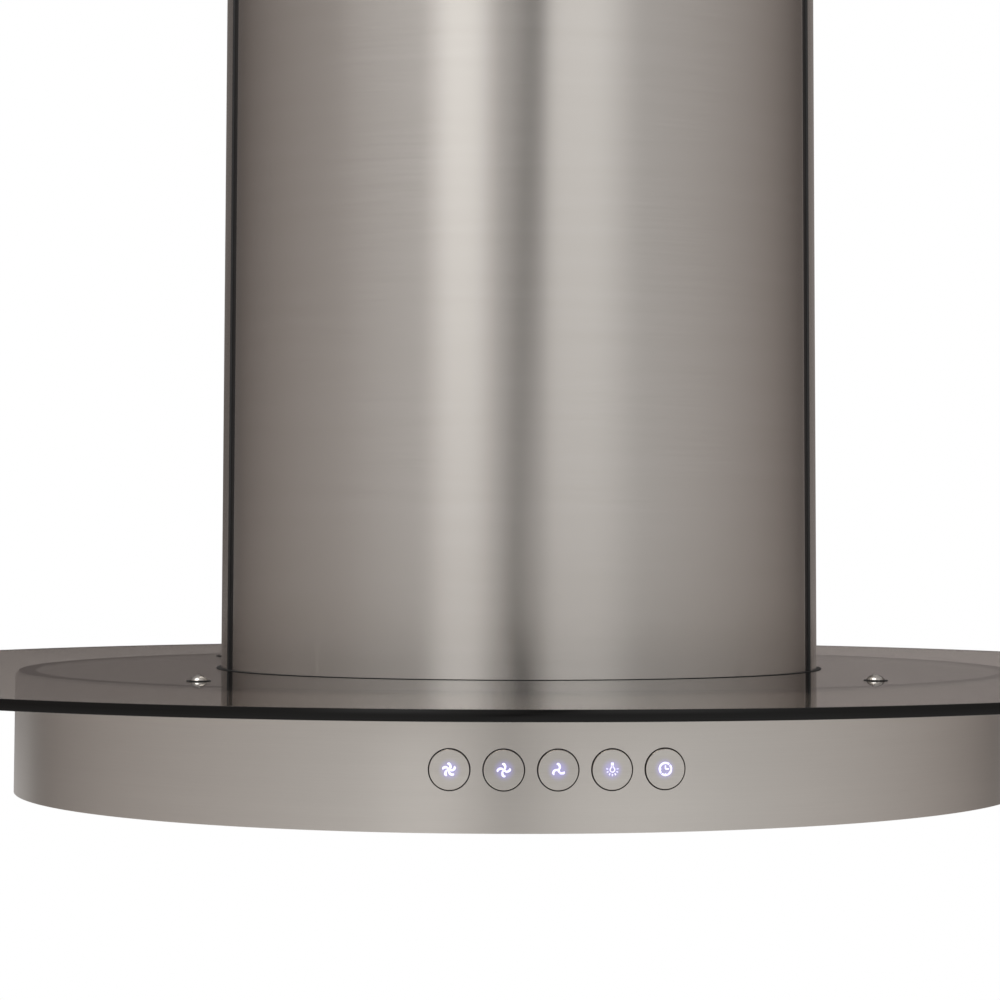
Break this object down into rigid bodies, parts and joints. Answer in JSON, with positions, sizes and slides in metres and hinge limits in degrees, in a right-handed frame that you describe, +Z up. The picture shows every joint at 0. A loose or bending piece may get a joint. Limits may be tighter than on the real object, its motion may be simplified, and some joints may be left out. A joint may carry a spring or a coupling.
{
  "type": "range hood",
  "caption": "Ceiling-hung range hood: oval brushed steel chimney on an oval smoked glass canopy, over an oval steel body with round lit push buttons, lamps and baffle filters.",
  "frame": {"origin": "centre of the ceiling plate's top face, where the hood meets the ceiling", "axes": "+Z up, along the chimney; the front with the push buttons faces -Y; +X is to the right as seen from the front"},
  "size_m": [0.8999, 0.6319, 0.9537],
  "materials": {
    "brushed_steel": "horizontal fine brush, satin",
    "button_steel": "fine satin",
    "zinc_steel": "galvanised sheet",
    "zinc_bolt": "zinc plated",
    "chrome": "polished",
    "smoked_glass": "smoked tempered glass, polished",
    "rubber": "matt",
    "black_plastic": "matt, fine grain",
    "motor_enamel": "black enamel",
    "board": "glass fibre board",
    "light_guide": "clear light guide, lit from behind",
    "lamp_lens": "frosted",
    "lamp_can": "drawn can",
    "filter_aluminium": "satin",
    "filter_steel": "bright rolled"
  },
  "bodies": {
    "hood": {"blower_box": "zinc_steel", "blower_housing": "zinc_steel", "blower_motor": "motor_enamel", "body_screws": "zinc_bolt", "body_skirt": "brushed_steel", "body_top_plate": "zinc_steel", "cable_gland": "black_plastic", "ceiling_plate": "zinc_steel", "chimney_brackets": "zinc_steel", "chimney_seal": "rubber", "control_board": "board", "control_box": "black_plastic", "control_box_lid": "black_plastic", "damper_rod": "zinc_bolt", "duct_collar": "zinc_steel", "frame_bolts": "zinc_bolt", "frame_feet": "zinc_steel", "glass_bushings": "rubber", "glass_canopy": "smoked_glass", "glass_gasket": "rubber", "glass_nuts": "zinc_bolt", "glass_screws": "chrome", "lamp_bezels": "chrome", "lamp_housings": "lamp_can", "lamp_lenses": "lamp_lens", "lower_chimney_front": "brushed_steel", "lower_chimney_rear": "brushed_steel", "lower_frame_legs": "zinc_steel", "lower_joint_strips": "black_plastic", "motor_bracket": "zinc_steel", "motor_capacitor": "lamp_can", "panel_posts": "zinc_steel", "switch_barrels": "black_plastic", "tact_switches": "black_plastic", "terminal_box": "black_plastic", "underside_panel": "brushed_steel", "upper_frame_legs": "zinc_steel"},
    "upper_chimney": {"upper_chimney_front": "brushed_steel", "upper_chimney_rear": "brushed_steel", "upper_joint_strips": "black_plastic"},
    "blower_rotor": {"impeller": "black_plastic", "motor_shaft": "zinc_bolt"},
    "damper_left": {"damper_flap_left": "zinc_steel"},
    "damper_right": {"damper_flap_right": "zinc_steel"},
    "filter_left": {"filter_frame_left": "filter_aluminium", "filter_baffles_left": "filter_steel"},
    "filter_right": {"filter_frame_right": "filter_aluminium", "filter_baffles_right": "filter_steel"},
    "latch_left": {"filter_latch_left": "filter_aluminium"},
    "latch_right": {"filter_latch_right": "filter_aluminium"},
    "push_button_1": {"button_1": "button_steel", "button_light_1": "light_guide"},
    "push_button_2": {"button_2": "button_steel", "button_light_2": "light_guide"},
    "push_button_3": {"button_3": "button_steel", "button_light_3": "light_guide"},
    "push_button_4": {"button_4": "button_steel", "button_light_4": "light_guide"},
    "push_button_5": {"button_5": "button_steel", "button_light_5": "light_guide"}
  },
  "joints": [
    {"name": "upper_chimney_slide", "type": "slide", "parent": "hood", "child": "upper_chimney", "axis": [0, 0, 1], "range_m": [-0.3, 0]},
    {"name": "blower_spin", "type": "hinge", "parent": "hood", "child": "blower_rotor", "pos_m": [-0.046, 0, -0.7707], "axis": [0, 1, 0], "continuous": true},
    {"name": "damper_left_hinge", "type": "hinge", "parent": "hood", "child": "damper_left", "pos_m": [0, 0, -0.6267], "axis": [0, 1, 0], "range_deg": [0, 80]},
    {"name": "damper_right_hinge", "type": "hinge", "parent": "hood", "child": "damper_right", "pos_m": [0, 0, -0.6267], "axis": [0, -1, 0], "range_deg": [0, 80]},
    {"name": "button_1_press", "type": "slide", "parent": "hood", "child": "push_button_1", "axis": [0.1236, 0.9923, 0], "range_m": [0, 0.0015], "stiffness_N_per_m": 900, "springref_m": -0.0015},
    {"name": "button_2_press", "type": "slide", "parent": "hood", "child": "push_button_2", "axis": [0.0615, 0.9981, 0], "range_m": [0, 0.0015], "stiffness_N_per_m": 900, "springref_m": -0.0015},
    {"name": "button_3_press", "type": "slide", "parent": "hood", "child": "push_button_3", "axis": [0, 1, 0], "range_m": [0, 0.0015], "stiffness_N_per_m": 900, "springref_m": -0.0015},
    {"name": "button_4_press", "type": "slide", "parent": "hood", "child": "push_button_4", "axis": [-0.0615, 0.9981, 0], "range_m": [0, 0.0015], "stiffness_N_per_m": 900, "springref_m": -0.0015},
    {"name": "button_5_press", "type": "slide", "parent": "hood", "child": "push_button_5", "axis": [-0.1236, 0.9923, 0], "range_m": [0, 0.0015], "stiffness_N_per_m": 900, "springref_m": -0.0015},
    {"name": "filter_left_tilt", "type": "hinge", "parent": "hood", "child": "filter_left", "pos_m": [-0.0968, 0.13, -0.9457], "axis": [1, 0, 0], "range_deg": [0, 50]},
    {"name": "latch_left_slide", "type": "slide", "parent": "filter_left", "child": "latch_left", "axis": [0, 1, 0], "range_m": [0, 0.005], "stiffness_N_per_m": 300, "springref_m": -0.003},
    {"name": "filter_right_tilt", "type": "hinge", "parent": "hood", "child": "filter_right", "pos_m": [0.0968, 0.13, -0.9457], "axis": [1, 0, 0], "range_deg": [0, 50]},
    {"name": "latch_right_slide", "type": "slide", "parent": "filter_right", "child": "latch_right", "axis": [0, 1, 0], "range_m": [0, 0.005], "stiffness_N_per_m": 300, "springref_m": -0.003}
  ]
}
